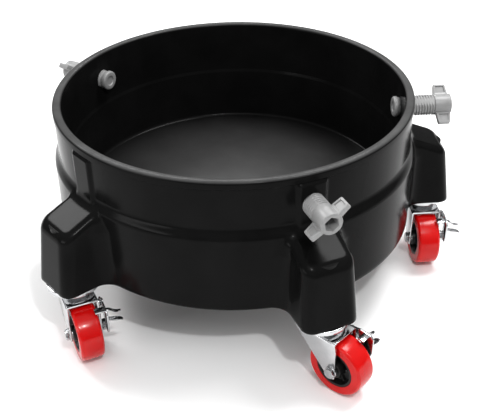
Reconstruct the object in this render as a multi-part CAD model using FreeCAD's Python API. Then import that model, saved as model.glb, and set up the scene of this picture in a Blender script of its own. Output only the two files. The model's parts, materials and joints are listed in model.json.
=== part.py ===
"""Wheeled bucket dolly: a round open tray on five braked swivel casters, with three clamp screws.

Units are millimetres, +Z is up and the origin is the centre of the tray floor's top face.
+X runs through the middle of the right leg, and the legs follow every 72 degrees.
"""
import FreeCAD, Part
import math
import os

# ---- tray ---------------------------------------------------------------
RIM_RADIUS = 157.8            # outside of the rim bead
RIM_INNER_RADIUS = 149.8
RIM_TOP = 102.0
RIM_CORNER = 2.6              # rounding of the bead's two upper corners
BEAD_BOTTOM = 95.6
WALL_RADIUS = 157.0           # outside of the wall above the shoulder
SHOULDER_TOP = 61.0
SHOULDER_BOTTOM = 50.0
SKIRT_RADIUS = 161.3          # outside of the wall below the shoulder
SKIRT_THICKNESS = 3.5
SKIRT_BOTTOM = -16.0
FLOOR_EDGE_RADIUS = 146.4     # inside of the tub where the wall meets the floor
FLOOR_FILLET = 3.0
FLOOR_THICKNESS = 4.0
TUB_STEP_BOTTOM = 50.0        # faint step inside the tub, level with the shoulder
TUB_STEP_TOP = 53.0
TUB_STEP_LOW_RADIUS = 147.6
TUB_STEP_HIGH_RADIUS = 148.6
TUB_THICKNESS = 3.6
CAVITY_TOP = 47.0             # the gap between tub and skirt, open below
RIB_COUNT = 10
RIB_THICKNESS = 3.0
RIB_BOTTOM = -12.0
HUB_RIB_RADIUS = 30.0
RING_RIB_RADIUS = 92.0

# ---- legs ---------------------------------------------------------------
LEG_NAMES = ["right", "rear_right", "rear_left", "front_left", "front_right"]
LEG_STEP = 72.0
LEG_INNER = 151.8             # buried in the tray wall
LEG_OUTER_BOTTOM = 200.9
LEG_HALF_WIDTH_BOTTOM = 24.0
LEG_OUTER_SLOPE = 0.135       # how far the outer face leans in per unit of height
LEG_SIDE_SLOPE = 0.035
LEG_TOP_AT_WALL = 51.5        # height of the sloping top where it meets the wall
LEG_TOP_SLOPE = 0.38
LEG_VERTICAL_ROUND = 10.0
LEG_TOP_ROUND = 6.5
LEG_WALL_THICKNESS = 3.5
LEG_ROOT_ROUND = 12.0         # hollow fillet between leg and skirt
BOSS_RADIUS = 12.5            # stem boss inside the leg
BOSS_WEB = 2.6
BOSS_WEB_BOTTOM = -12.4

# ---- clamp pads and screws ----------------------------------------------
WALL_PAD_FACE = 161.5
WALL_PAD_HALF_WIDTH = 11.6
WALL_PAD_TOP = 93.0
WALL_PAD_ROUND = 3.2
SCREW_HEIGHT = 76.0
SCREW_BORE_RADIUS = 9.4
THREAD_RADIUS = 9.3
THREAD_ROOT_RADIUS = 8.3
THREAD_PITCH = 2.5
THREAD_FLAT = 8.15            # half the width across the screw's two smooth sides
THREAD_CREST = 0.75           # width of a ridge's top and of each of its flanks
HEAD_RADIUS = 9.3
HEAD_LENGTH = 15.3
SCREW_LENGTH = 52.5           # head end to the face of the swivel pad
WING_TIP_RADIUS = 19.2
WING_TIP_LENGTH = 10.7
WING_THICKNESS = 4.6
WING_PANEL_DEPTH = 0.9
WING_PANEL_BORDER = 1.7
WING_TIP_ROUND = 0.8
WING_ANGLE = 37.6             # wings' turn from the horizontal in the pose as stored
HEAD_EDGE_ROUND = 0.6
HEX_CORNER_RADIUS = 6.3
HEX_DEPTH = 12.0
SWIVEL_PAD_LENGTH = 5.5
SWIVEL_PAD_RADIUS = 9.1
SWIVEL_PAD_DISH = 4.8         # radius of the shallow dish in the pad's face
SWIVEL_PAD_DISH_DEPTH = 0.9
SWIVEL_PAD_EDGE = 1.6
PIVOT_RADIUS = 3.0
PIVOT_CLEARANCE = 0.06
PIVOT_LENGTH = 3.4
PAD_GAP = 0.4                 # free space between the pad's back and the screw
SCREW_HEAD_ENDS = {"right": 196.5, "rear_left": 193.5, "front_right": 189.5}

# ---- casters ------------------------------------------------------------
CASTER_RADIUS = 179.8         # swivel axes' distance from the tray's axis
HEADINGS = {"right": 270.1, "rear_right": 283.0, "rear_left": 301.0,
            "front_left": 289.3, "front_right": 313.8}
TRAIL = 21.5
AXLE_Z = -55.8
WHEEL_RADIUS = 25.4
WHEEL_HALF_WIDTH = 10.1
TREAD_CROWN = 0.35
TREAD_ROUND = 2.6
CORE_RADIUS = 16.8
CORE_TONGUE_RADIUS = 18.8
CORE_TONGUE_HALF_WIDTH = 4.0
CORE_WEB_HALF_WIDTH = 3.2
CORE_RIM_THICKNESS = 2.0
CORE_HUB_RADIUS = 7.2
CORE_HUB_HALF_WIDTH = 11.4
SLEEVE_RADIUS = 4.0
SLEEVE_CLEARANCE = 0.06
AXLE_RADIUS = 3.0
FORK_HALF_WIDTH = 14.0
FORK_GAUGE = 1.8
CROWN_TOP = -26.0
CROWN_FRONT = 24.0
CROWN_BACK = -13.5
FORK_FOOT_RADIUS = 7.0
FORK_FOLD = 2.0               # outside radius of the two folds
FORK_LEG_SHOULDER = 2.0       # height of the crown's square ends above the legs' slant
DISH_TOP = -20.9
DISH_RADIUS = 19.5
DISH_NECK_RADIUS = 14.0
RACE_RADIUS = 22.6
RACE_GAUGE = 1.6
RACE_BOTTOM = -20.1
RACE_CORNER = 2.0
BALL_RADIUS = 1.6
BALL_RING_RADIUS = 15.6
BALL_COUNT = 12
STEM_RADIUS = 5.0
STEM_TOP = 14.0
STEM_RUNNING_FIT = 0.06
STEM_HEAD_RADIUS = 7.5
STEM_HEAD_HEIGHT = 2.6
STEM_HEAD_ROUND = 1.8
INSERT_RADIUS = 7.5
INSERT_TOP = 10.0
HEX_ACROSS_FLATS = 10.0
HEX_CHAMFER = 0.6
BOLT_HEAD_HEIGHT = 4.0
NUT_HEIGHT = 5.0
BOLT_OVERHANG = 1.6

# ---- brakes -------------------------------------------------------------
BRAKE_PIVOT = (19.0, -33.0)   # along the trail and up, from the swivel axis
BRAKE_INNER = 15.6            # inner face of the lever plate
BRAKE_GAUGE = 1.6
RIVET_RADIUS = 2.0
RIVET_CLEARANCE = 0.06
RIVET_HEAD_RADIUS = 3.4
RIVET_HEAD_HEIGHT = 1.1
LEVER_OUTLINE = [(15.0, -35.5), ((14.0, -32.5), (16.5, -29.4)), (27.0, -27.8), (36.5, -29.6),
                 ((39.4, -31.5), (40.0, -35.0)), (39.6, -46.5), ((34.5, -54.5), (29.6, -47.0)),
                 (28.4, -39.5), (22.5, -37.3)]
SHOE_BACK = 30.2
SHOE_FRONT = 36.2
SHOE_TOP = -29.3
SHOE_TILT = 14.0
SHOE_TIP = 7.2                # how far from the wheel's middle plane the shoe begins
PEDAL_TIP = 30.0
PEDAL_TIP_ROUND = 1.6
# each prong: back edge, front edge, height where it leaves the plate, rise on the way out
PEDAL_PRONGS = [(29.5, 33.6, -33.6, 1.4), (35.2, 39.6, -36.2, -1.0)]


def turned(shape, degrees):
    """Turn a copy of a shape about the tray's axis."""
    copy = shape.copy()
    copy.rotate(FreeCAD.Vector(0, 0, 0), FreeCAD.Vector(0, 0, 1), degrees)
    return copy


def loop(points, plane):
    """A closed face from corner points; a tuple of three points ends in a round stretch."""
    def place(pair):
        if plane == "xz":
            return FreeCAD.Vector(pair[0], 0, pair[1])
        return FreeCAD.Vector(pair[0], pair[1], 0)
    edges = []
    start = place(points[0])
    for item in points[1:] + [points[0]]:
        if isinstance(item[0], tuple):
            middle = place(item[0])
            end = place(item[1])
            edges.append(Part.Arc(start, middle, end).toShape())
        else:
            end = place(item)
            if (end - start).Length < 1e-9:
                continue
            edges.append(Part.LineSegment(start, end).toShape())
        start = end
    return Part.Face(Part.Wire(edges))


def arc_between(start, end, bulge):
    """The loop item for an arc to end whose middle stands off the chord by bulge, to its left."""
    dx = end[0] - start[0]
    dz = end[1] - start[1]
    chord = math.hypot(dx, dz)
    middle = ((start[0] + end[0]) / 2 - dz / chord * bulge,
              (start[1] + end[1]) / 2 + dx / chord * bulge)
    return (middle, end)


def quarter(start, end, radius, side):
    """The loop item for a quarter round of a given radius."""
    return arc_between(start, end, side * radius * (1 - math.cos(math.pi / 4)))


def revolved(points, axis_point=(0, 0, 0), axis=(0, 0, 1)):
    """Turn an XZ outline into a solid of revolution."""
    face = loop(points, "xz")
    return face.revolve(FreeCAD.Vector(*axis_point), FreeCAD.Vector(*axis), 360)


def drum(radius, low, high, centre=(0, 0), axis="z"):
    """A cylinder along Z or Y between two stations."""
    if axis == "z":
        base = FreeCAD.Vector(centre[0], centre[1], low)
        return Part.makeCylinder(radius, high - low, base, FreeCAD.Vector(0, 0, 1))
    base = FreeCAD.Vector(centre[0], low, centre[1])
    return Part.makeCylinder(radius, high - low, base, FreeCAD.Vector(0, 1, 0))


def block(low, high):
    """A box between two corners."""
    size = [b - a for a, b in zip(low, high)]
    return Part.makeBox(size[0], size[1], size[2], FreeCAD.Vector(*low))


def hexagon(corner_radius, turn=0.0):
    """Six corners of a hexagon about the origin."""
    corners = []
    for index in range(6):
        angle = math.radians(turn + 60 * index)
        corners.append((corner_radius * math.cos(angle), corner_radius * math.sin(angle)))
    return corners


def edges_where(shape, test):
    """The edges of a shape whose middle point passes a test."""
    found = []
    for edge in shape.Edges:
        middle = edge.valueAt((edge.FirstParameter + edge.LastParameter) / 2)
        if test(edge, middle):
            found.append(edge)
    return found


# ---- tray body ----------------------------------------------------------
def tray_shell():
    """Tub, rim bead, shoulder and skirt in one turned section."""
    half_drop = (SHOULDER_TOP - SHOULDER_BOTTOM) / 2
    half_step = (SKIRT_RADIUS - WALL_RADIUS) / 2
    shoulder_radius = (half_drop ** 2 + half_step ** 2) / (2 * half_step)
    bulge = shoulder_radius - math.sqrt(shoulder_radius ** 2 - (half_drop ** 2 + half_step ** 2) / 4)
    shoulder_high = (WALL_RADIUS, SHOULDER_TOP)
    shoulder_middle = (WALL_RADIUS + half_step, SHOULDER_TOP - half_drop)
    shoulder_low = (SKIRT_RADIUS, SHOULDER_BOTTOM)
    skirt_inside = SKIRT_RADIUS - SKIRT_THICKNESS
    tub_outside = FLOOR_EDGE_RADIUS + TUB_THICKNESS
    inner_corner = (RIM_INNER_RADIUS, RIM_TOP - RIM_CORNER)
    outer_corner = (RIM_RADIUS - RIM_CORNER, RIM_TOP)
    fillet_start = (FLOOR_EDGE_RADIUS - FLOOR_FILLET, 0)
    fillet_end = (FLOOR_EDGE_RADIUS, FLOOR_FILLET)
    section = [
        (0, 0),
        fillet_start,
        quarter(fillet_start, fillet_end, FLOOR_FILLET, -1),
        (TUB_STEP_LOW_RADIUS, TUB_STEP_BOTTOM),
        (TUB_STEP_HIGH_RADIUS, TUB_STEP_TOP),
        inner_corner,
        quarter(inner_corner, (RIM_INNER_RADIUS + RIM_CORNER, RIM_TOP), RIM_CORNER, 1),
        outer_corner,
        quarter(outer_corner, (RIM_RADIUS, RIM_TOP - RIM_CORNER), RIM_CORNER, 1),
        (RIM_RADIUS, BEAD_BOTTOM),
        (WALL_RADIUS, BEAD_BOTTOM - 0.8),
        shoulder_high,
        arc_between(shoulder_high, shoulder_middle, -bulge),
        arc_between(shoulder_middle, shoulder_low, bulge),
        (SKIRT_RADIUS, SKIRT_BOTTOM),
        (skirt_inside, SKIRT_BOTTOM),
        (skirt_inside, CAVITY_TOP),
        (tub_outside + 1.2, CAVITY_TOP),
        (tub_outside, -FLOOR_THICKNESS),
        (0, -FLOOR_THICKNESS),
    ]
    return revolved(section)


def leg_outer():
    """Outside form of one leg on +X: four leaning planes, a sloping top and rounded edges."""
    tall = LEG_TOP_AT_WALL + 12.0
    rise = tall - SKIRT_BOTTOM
    layers = []
    for height in (SKIRT_BOTTOM, tall):
        up = height - SKIRT_BOTTOM
        outer = LEG_OUTER_BOTTOM - LEG_OUTER_SLOPE * up
        half = LEG_HALF_WIDTH_BOTTOM - LEG_SIDE_SLOPE * up
        corners = [(LEG_INNER, -half), (outer, -half), (outer, half), (LEG_INNER, half)]
        corners.append(corners[0])
        layers.append(Part.makePolygon([FreeCAD.Vector(x, y, height) for x, y in corners]))
    body = Part.makeLoft(layers, True, True)
    reach = LEG_OUTER_BOTTOM + rise
    far_drop = LEG_TOP_SLOPE * (reach - SKIRT_RADIUS)
    near_drop = LEG_TOP_SLOPE * (LEG_INNER - 10 - SKIRT_RADIUS)
    lid = [(LEG_INNER - 10, LEG_TOP_AT_WALL - near_drop), (reach, LEG_TOP_AT_WALL - far_drop),
           (reach, tall + 60), (LEG_INNER - 10, tall + 60)]
    knife = loop(lid, "xz")
    knife.translate(FreeCAD.Vector(0, -60, 0))
    body = body.cut(knife.extrude(FreeCAD.Vector(0, 120, 0)))
    corners = edges_where(body, lambda edge, p: abs(edge.tangentAt(edge.FirstParameter).z) > 0.8
                          and p.x > LEG_INNER + 5)
    body = body.makeFillet(LEG_VERTICAL_ROUND, corners)
    crest = edges_where(body, lambda edge, p: p.z > 20 and p.x > LEG_INNER + 1
                        and abs(edge.tangentAt(edge.FirstParameter).z) < 0.75
                        and abs(p.z - (LEG_TOP_AT_WALL - LEG_TOP_SLOPE * (p.x - SKIRT_RADIUS))) < 0.05)
    return body.makeFillet(LEG_TOP_ROUND, crest)


def leg_hollow():
    """Space inside one leg, open below, outside the skirt wall."""
    layers = []
    top_inside = LEG_TOP_AT_WALL - LEG_WALL_THICKNESS - 1.0
    top = top_inside - LEG_TOP_SLOPE * (LEG_OUTER_BOTTOM - SKIRT_RADIUS)
    for height in (SKIRT_BOTTOM - 1, top):
        up = height - SKIRT_BOTTOM
        outer = LEG_OUTER_BOTTOM - LEG_OUTER_SLOPE * up - LEG_WALL_THICKNESS
        half = LEG_HALF_WIDTH_BOTTOM - LEG_SIDE_SLOPE * up - LEG_WALL_THICKNESS
        inner = SKIRT_RADIUS + 0.5
        corners = [(inner, -half), (outer, -half), (outer, half), (inner, half)]
        corners.append(corners[0])
        layers.append(Part.makePolygon([FreeCAD.Vector(x, y, height) for x, y in corners]))
    hollow = Part.makeLoft(layers, True, True)
    upright = edges_where(hollow, lambda edge, p: abs(edge.tangentAt(edge.FirstParameter).z) > 0.8
                          and p.x > SKIRT_RADIUS + 8)
    return hollow.makeFillet(LEG_VERTICAL_ROUND - LEG_WALL_THICKNESS, upright)


def leg_boss():
    """Stem boss in the leg with four thin webs."""
    top = LEG_TOP_AT_WALL - LEG_TOP_SLOPE * (CASTER_RADIUS - SKIRT_RADIUS) - 2.0
    boss = drum(BOSS_RADIUS, SKIRT_BOTTOM, top, (CASTER_RADIUS, 0))
    half = LEG_HALF_WIDTH_BOTTOM - LEG_WALL_THICKNESS + 0.5
    low = BOSS_WEB_BOTTOM
    web_top = top - BOSS_RADIUS
    lean = LEG_OUTER_SLOPE * (web_top - SKIRT_BOTTOM)
    across = block((CASTER_RADIUS - BOSS_WEB / 2, -half + 4, low),
                   (CASTER_RADIUS + BOSS_WEB / 2, half - 4, web_top))
    along = block((SKIRT_RADIUS - 0.5, -BOSS_WEB / 2, low),
                  (LEG_OUTER_BOTTOM - LEG_WALL_THICKNESS - lean + 1, BOSS_WEB / 2, web_top))
    return boss.fuse(across).fuse(along)


def wall_pad():
    """Flat raised pad on the wall above one leg, on +X."""
    pad = block((RIM_INNER_RADIUS + 2.5, -WALL_PAD_HALF_WIDTH, 40.0),
                (WALL_PAD_FACE, WALL_PAD_HALF_WIDTH, WALL_PAD_TOP))
    rims = edges_where(pad, lambda edge, p: p.x > WALL_PAD_FACE - 0.1 and p.z > 41)
    return pad.makeFillet(WALL_PAD_ROUND, rims)


def underside_ribs():
    """Radial and ring ribs under the floor and in the gap behind the skirt."""
    ribs = []
    outer = SKIRT_RADIUS - SKIRT_THICKNESS + 0.8
    tub_outside = FLOOR_EDGE_RADIUS + TUB_THICKNESS
    half = RIB_THICKNESS / 2
    for index in range(RIB_COUNT):
        spoke = block((HUB_RIB_RADIUS, -half, RIB_BOTTOM), (outer, half, -FLOOR_THICKNESS + 1))
        bridge = block((tub_outside - 0.8, -half, RIB_BOTTOM), (outer, half, CAVITY_TOP + 0.5))
        angle = 360 / RIB_COUNT * index
        ribs.append(turned(spoke, angle))
        ribs.append(turned(bridge, angle))
    for radius in (HUB_RIB_RADIUS, RING_RIB_RADIUS):
        ring = drum(radius + RIB_THICKNESS, RIB_BOTTOM, -FLOOR_THICKNESS + 1)
        ribs.append(ring.cut(drum(radius, RIB_BOTTOM - 1, 0)))
    return ribs


def on_leg_root(edge, middle):
    """True for an upright edge where a leg's side meets the skirt."""
    radius = math.hypot(middle.x, middle.y)
    upright = abs(edge.tangentAt((edge.FirstParameter + edge.LastParameter) / 2).z) > 0.8
    return upright and abs(radius - SKIRT_RADIUS) < 0.05 and SKIRT_BOTTOM < middle.z < SHOULDER_BOTTOM


def tray_body():
    """The one-piece moulded tray with its five legs."""
    shell = tray_shell()
    gap = revolved([(FLOOR_EDGE_RADIUS + TUB_THICKNESS, SKIRT_BOTTOM - 1),
                    (SKIRT_RADIUS - SKIRT_THICKNESS, SKIRT_BOTTOM - 1),
                    (SKIRT_RADIUS - SKIRT_THICKNESS, CAVITY_TOP - 0.01),
                    (FLOOR_EDGE_RADIUS + TUB_THICKNESS + 1.2, CAVITY_TOP - 0.01),
                    (FLOOR_EDGE_RADIUS + TUB_THICKNESS, -FLOOR_THICKNESS)])
    outer_leg = leg_outer()
    legs = [turned(outer_leg, LEG_STEP * index) for index in range(5)]
    body = shell.fuse(legs).removeSplitter()
    roots = edges_where(body, on_leg_root)
    body = body.makeFillet(LEG_ROOT_ROUND, roots)
    pads = [turned(wall_pad(), LEG_STEP * index) for index in range(5)]
    body = body.fuse(pads)
    hollows = [turned(leg_hollow(), LEG_STEP * index) for index in range(5)]
    body = body.cut([gap] + hollows)
    additions = underside_ribs()
    additions += [turned(leg_boss(), LEG_STEP * index) for index in range(5)]
    body = body.fuse(additions).removeSplitter()
    cuts = []
    for index, name in enumerate(LEG_NAMES):
        cuts.append(turned(drum(INSERT_RADIUS, SKIRT_BOTTOM - 1, INSERT_TOP, (CASTER_RADIUS, 0)),
                           LEG_STEP * index))
        cuts.append(turned(drum(STEM_RADIUS + 0.3, INSERT_TOP - 1, STEM_TOP + 1, (CASTER_RADIUS, 0)),
                           LEG_STEP * index))
        if name in SCREW_HEAD_ENDS:
            bore = Part.makeCylinder(SCREW_BORE_RADIUS, 30, FreeCAD.Vector(140, 0, SCREW_HEIGHT),
                                     FreeCAD.Vector(1, 0, 0))
            cuts.append(turned(bore, LEG_STEP * index))
    return body.cut(cuts)


# ---- clamp screws -------------------------------------------------------
def along_screw(shape, name):
    """Carry a shape built on +X from the tray's axis to its screw's height and leg."""
    copy = shape.copy()
    copy.translate(FreeCAD.Vector(0, 0, SCREW_HEIGHT))
    return turned(copy, LEG_STEP * LEG_NAMES.index(name))


def rod(radius, low, high):
    """A cylinder along X between two stations."""
    return Part.makeCylinder(radius, high - low, FreeCAD.Vector(low, 0, 0), FreeCAD.Vector(1, 0, 0))


def wing_plate(end):
    """Both wings of a screw head as one tapering plate across the head."""
    taper = (HEAD_LENGTH - WING_TIP_LENGTH) / 2
    back = end - HEAD_LENGTH
    tip = WING_TIP_RADIUS
    outline = [(back, 0), (back + taper, tip), (end - taper, tip),
               (end, 0), (end - taper, -tip), (back + taper, -tip)]
    plate = loop(outline, "xy")
    plate.translate(FreeCAD.Vector(0, 0, -WING_THICKNESS / 2))
    plate = plate.extrude(FreeCAD.Vector(0, 0, WING_THICKNESS))
    return plate.makeFillet(WING_TIP_ROUND, edges_where(plate, lambda edge, p: abs(p.y) > tip - 0.1))


def wing_panels(end):
    """Shallow panels sunk into both faces of both wings."""
    inner = HEAD_RADIUS + 0.6
    outer = WING_TIP_RADIUS - WING_PANEL_BORDER
    slope = (HEAD_LENGTH - WING_TIP_LENGTH) / 2 / WING_TIP_RADIUS
    panels = []
    for side in (-1, 1):
        corners = []
        for radius, low in ((inner, True), (outer, True), (outer, False), (inner, False)):
            inset = slope * radius + WING_PANEL_BORDER
            corners.append((end - HEAD_LENGTH + inset if low else end - inset, side * radius))
        for face in (-1, 1):
            panel = loop(corners, "xy")
            panel.translate(FreeCAD.Vector(0, 0, face * WING_THICKNESS / 2 - WING_PANEL_DEPTH))
            panels.append(panel.extrude(FreeCAD.Vector(0, 0, 2 * WING_PANEL_DEPTH)))
    return panels


def threaded_shank(low, high):
    """Shank with ridges at the thread's pitch, cut back to two smooth sides."""
    outline = [(low, 0), (low, THREAD_ROOT_RADIUS)]
    station = low + THREAD_PITCH / 2
    while station + THREAD_PITCH < high:
        outline.append((station, THREAD_ROOT_RADIUS))
        outline.append((station + THREAD_CREST, THREAD_RADIUS))
        outline.append((station + 2 * THREAD_CREST, THREAD_RADIUS))
        outline.append((station + 3 * THREAD_CREST, THREAD_ROOT_RADIUS))
        station += THREAD_PITCH
    outline += [(high, THREAD_ROOT_RADIUS), (high, 0)]
    shank = loop(outline, "xz").revolve(FreeCAD.Vector(0, 0, 0), FreeCAD.Vector(1, 0, 0), 360)
    reach = 2 * THREAD_RADIUS
    above = block((low - 1, -reach, THREAD_FLAT), (high - 0.001, reach, reach))
    below = block((low - 1, -reach, -reach), (high - 0.001, reach, -THREAD_FLAT))
    return shank.cut([above, below])


def clamp_screw(name):
    """Wing-headed clamp screw with a hexagonal hollow in its head."""
    end = SCREW_HEAD_ENDS[name]
    pad_back = end - SCREW_LENGTH + SWIVEL_PAD_LENGTH
    head = rod(HEAD_RADIUS, end - HEAD_LENGTH, end)
    wings = wing_plate(end).cut(wing_panels(end))
    shank = threaded_shank(pad_back + PAD_GAP, end - HEAD_LENGTH + 0.5)
    pivot = rod(PIVOT_RADIUS, pad_back - PIVOT_LENGTH, pad_back + PAD_GAP + 1)
    screw = head.fuse([wings, shank, pivot])
    bottom = end - HEX_DEPTH
    corners = [FreeCAD.Vector(bottom, y, z) for y, z in hexagon(HEX_CORNER_RADIUS)]
    socket = Part.Face(Part.makePolygon(corners + [corners[0]])).extrude(FreeCAD.Vector(HEX_DEPTH + 1, 0, 0))
    screw = screw.cut(socket)
    rims = edges_where(screw, lambda edge, p: p.x > end - 0.01
                       and abs(math.hypot(p.y, p.z) - HEAD_RADIUS) < 0.1)
    screw = screw.makeFillet(HEAD_EDGE_ROUND, rims)
    screw.rotate(FreeCAD.Vector(0, 0, 0), FreeCAD.Vector(1, 0, 0), WING_ANGLE)
    return along_screw(screw, name)


def swivel_pad(name):
    """Dished pad that stays still against the bucket while the screw turns in it."""
    back = SCREW_HEAD_ENDS[name] - SCREW_LENGTH + SWIVEL_PAD_LENGTH
    face = back - SWIVEL_PAD_LENGTH
    hole = PIVOT_RADIUS + PIVOT_CLEARANCE
    rim = SWIVEL_PAD_RADIUS
    edge = SWIVEL_PAD_EDGE
    dish = face + SWIVEL_PAD_DISH_DEPTH
    hole_end = back - PIVOT_LENGTH - PAD_GAP
    outline = [(dish, 0), (dish, SWIVEL_PAD_DISH - 0.6), (face, SWIVEL_PAD_DISH), (face, rim - edge),
               quarter((face, rim - edge), (face + edge, rim), edge, 1),
               (back, rim), (back, hole), (hole_end, hole), (hole_end, 0)]
    pad = loop(outline, "xz").revolve(FreeCAD.Vector(0, 0, 0), FreeCAD.Vector(1, 0, 0), 360)
    return along_screw(pad, name)


# ---- casters ------------------------------------------------------------
def at_caster(shape, name):
    """Carry a shape built about the swivel axis, trail along +X, to its place and heading."""
    copy = turned(shape, HEADINGS[name])
    angle = math.radians(LEG_STEP * LEG_NAMES.index(name))
    copy.translate(FreeCAD.Vector(CASTER_RADIUS * math.cos(angle), CASTER_RADIUS * math.sin(angle), 0))
    return copy


def stem():
    """Threaded king stem whose lower end is headed over inside the fork's dish."""
    head_top = DISH_TOP - FORK_GAUGE - 0.1
    low = head_top - STEM_HEAD_HEIGHT
    start = (STEM_HEAD_RADIUS - STEM_HEAD_ROUND, low)
    outline = [(0, low), start,
               quarter(start, (STEM_HEAD_RADIUS, low + STEM_HEAD_ROUND), STEM_HEAD_ROUND, -1),
               (STEM_HEAD_RADIUS, head_top), (STEM_RADIUS, head_top), (STEM_RADIUS, STEM_TOP - 1),
               (STEM_RADIUS - 1, STEM_TOP), (0, STEM_TOP)]
    return revolved(outline)


def stem_insert():
    """Threaded sleeve moulded into a leg's boss."""
    sleeve = drum(INSERT_RADIUS, SKIRT_BOTTOM, INSERT_TOP)
    return sleeve.cut(drum(STEM_RADIUS, SKIRT_BOTTOM - 1, INSERT_TOP + 1))


def upper_race():
    """Pressed cup clamped under the leg, its rim turned down round the balls."""
    corner = RACE_CORNER
    inner = RACE_RADIUS - RACE_GAUGE
    top = SKIRT_BOTTOM
    under = top - RACE_GAUGE
    outline = [(STEM_RADIUS, under), (STEM_RADIUS, top), (RACE_RADIUS - corner, top),
               quarter((RACE_RADIUS - corner, top), (RACE_RADIUS, top - corner), corner, 1),
               (RACE_RADIUS, RACE_BOTTOM), (inner, RACE_BOTTOM), (inner, under)]
    return revolved(outline)


def swivel_balls():
    """Ring of bearing balls between the cup and the fork's dish."""
    balls = []
    for index in range(BALL_COUNT):
        angle = 2 * math.pi * index / BALL_COUNT
        centre = FreeCAD.Vector(BALL_RING_RADIUS * math.cos(angle), BALL_RING_RADIUS * math.sin(angle),
                                DISH_TOP + BALL_RADIUS + 0.02)
        balls.append(Part.makeSphere(BALL_RADIUS, centre))
    return Part.makeCompound(balls)


def touch_foot(corner, side):
    """Where the straight edge from a corner of the fork touches the foot's round end."""
    dx = TRAIL - corner[0]
    dz = AXLE_Z - corner[1]
    lean = math.acos(FORK_FOOT_RADIUS / math.hypot(dx, dz))
    angle = math.atan2(dz, dx) + math.pi + side * lean
    return (TRAIL + FORK_FOOT_RADIUS * math.cos(angle), AXLE_Z + FORK_FOOT_RADIUS * math.sin(angle))


def fork_side_form():
    """Block with the fork's outline as seen along the axle."""
    back = (CROWN_BACK, CROWN_TOP - FORK_LEG_SHOULDER)
    front = (CROWN_FRONT, CROWN_TOP - FORK_LEG_SHOULDER)
    outline = [(CROWN_BACK, DISH_TOP), (CROWN_FRONT, DISH_TOP), front, touch_foot(front, -1),
               ((TRAIL, AXLE_Z - FORK_FOOT_RADIUS), touch_foot(back, 1)), back]
    face = loop(outline, "xz")
    reach = FORK_HALF_WIDTH + 1
    face.translate(FreeCAD.Vector(0, -reach, 0))
    return face.extrude(FreeCAD.Vector(0, 2 * reach, 0))


def fork_channel():
    """Folded channel, open below, running along the trail."""
    outer = FORK_HALF_WIDTH
    inner = FORK_HALF_WIDTH - FORK_GAUGE
    fold_low = CROWN_TOP - FORK_FOLD
    low = AXLE_Z - FORK_FOOT_RADIUS - 1
    outline = [(-outer, low), (-outer, fold_low),
               quarter((-outer, fold_low), (-outer + FORK_FOLD, CROWN_TOP), FORK_FOLD, 1),
               (outer - FORK_FOLD, CROWN_TOP),
               quarter((outer - FORK_FOLD, CROWN_TOP), (outer, fold_low), FORK_FOLD, 1),
               (outer, low), (inner, low), (inner, CROWN_TOP - FORK_GAUGE),
               (-inner, CROWN_TOP - FORK_GAUGE), (-inner, low)]
    face = loop(outline, "xz")
    face.rotate(FreeCAD.Vector(0, 0, 0), FreeCAD.Vector(0, 0, 1), 90)
    face.translate(FreeCAD.Vector(CROWN_BACK - 1, 0, 0))
    return face.extrude(FreeCAD.Vector(CROWN_FRONT - CROWN_BACK + 2, 0, 0))


def fork_dish():
    """Raised round track for the swivel balls, narrowing down to the crown."""
    under = DISH_TOP - FORK_GAUGE
    hole = STEM_RADIUS + STEM_RUNNING_FIT
    neck = DISH_NECK_RADIUS
    crown_under = CROWN_TOP - FORK_GAUGE
    lip = DISH_TOP - FORK_GAUGE / 2
    return revolved([(hole, DISH_TOP), (DISH_RADIUS, DISH_TOP), (DISH_RADIUS, lip), (neck, CROWN_TOP),
                     (neck, crown_under), (neck - FORK_GAUGE, crown_under), (neck - FORK_GAUGE, CROWN_TOP),
                     (DISH_RADIUS - 2 * FORK_GAUGE, under), (hole, under)])


def fork():
    """Pressed fork: raised ball track, flat crown and two tapering legs."""
    body = fork_channel().common(fork_side_form())
    body = body.cut(drum(DISH_NECK_RADIUS - FORK_GAUGE / 2, CROWN_TOP - 5, CROWN_TOP + 5))
    body = body.fuse(fork_dish()).removeSplitter()
    reach = FORK_HALF_WIDTH + 1
    axle_hole = drum(AXLE_RADIUS, -reach, reach, (TRAIL, AXLE_Z), "y")
    rivet_hole = drum(RIVET_RADIUS, 0, reach, BRAKE_PIVOT, "y")
    return body.cut([axle_hole, rivet_hole])


def round_to(start, end, side):
    """A quarter round between two points of a (radius, station) outline, bulging outwards."""
    bulge = TREAD_ROUND * (1 - math.cos(math.pi / 4)) * side
    dr = end[0] - start[0]
    dy = end[1] - start[1]
    chord = math.hypot(dr, dy)
    middle = ((start[0] + end[0]) / 2 + abs(dy) / chord * bulge,
              (start[1] + end[1]) / 2 - dr / chord * bulge)
    return (middle, end)


def revolve_stations(outline):
    """Turn a (radius, station) outline, arcs allowed, about the wheel's axle."""
    flipped = []
    for item in outline:
        if isinstance(item[0], tuple):
            flipped.append(((item[0][1], item[0][0]), (item[1][1], item[1][0])))
        else:
            flipped.append((item[1], item[0]))
    solid = loop(flipped, "xy").revolve(FreeCAD.Vector(0, 0, 0), FreeCAD.Vector(1, 0, 0), 360)
    solid.rotate(FreeCAD.Vector(0, 0, 0), FreeCAD.Vector(0, 0, 1), 90)
    solid.translate(FreeCAD.Vector(TRAIL, 0, AXLE_Z))
    return solid


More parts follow.
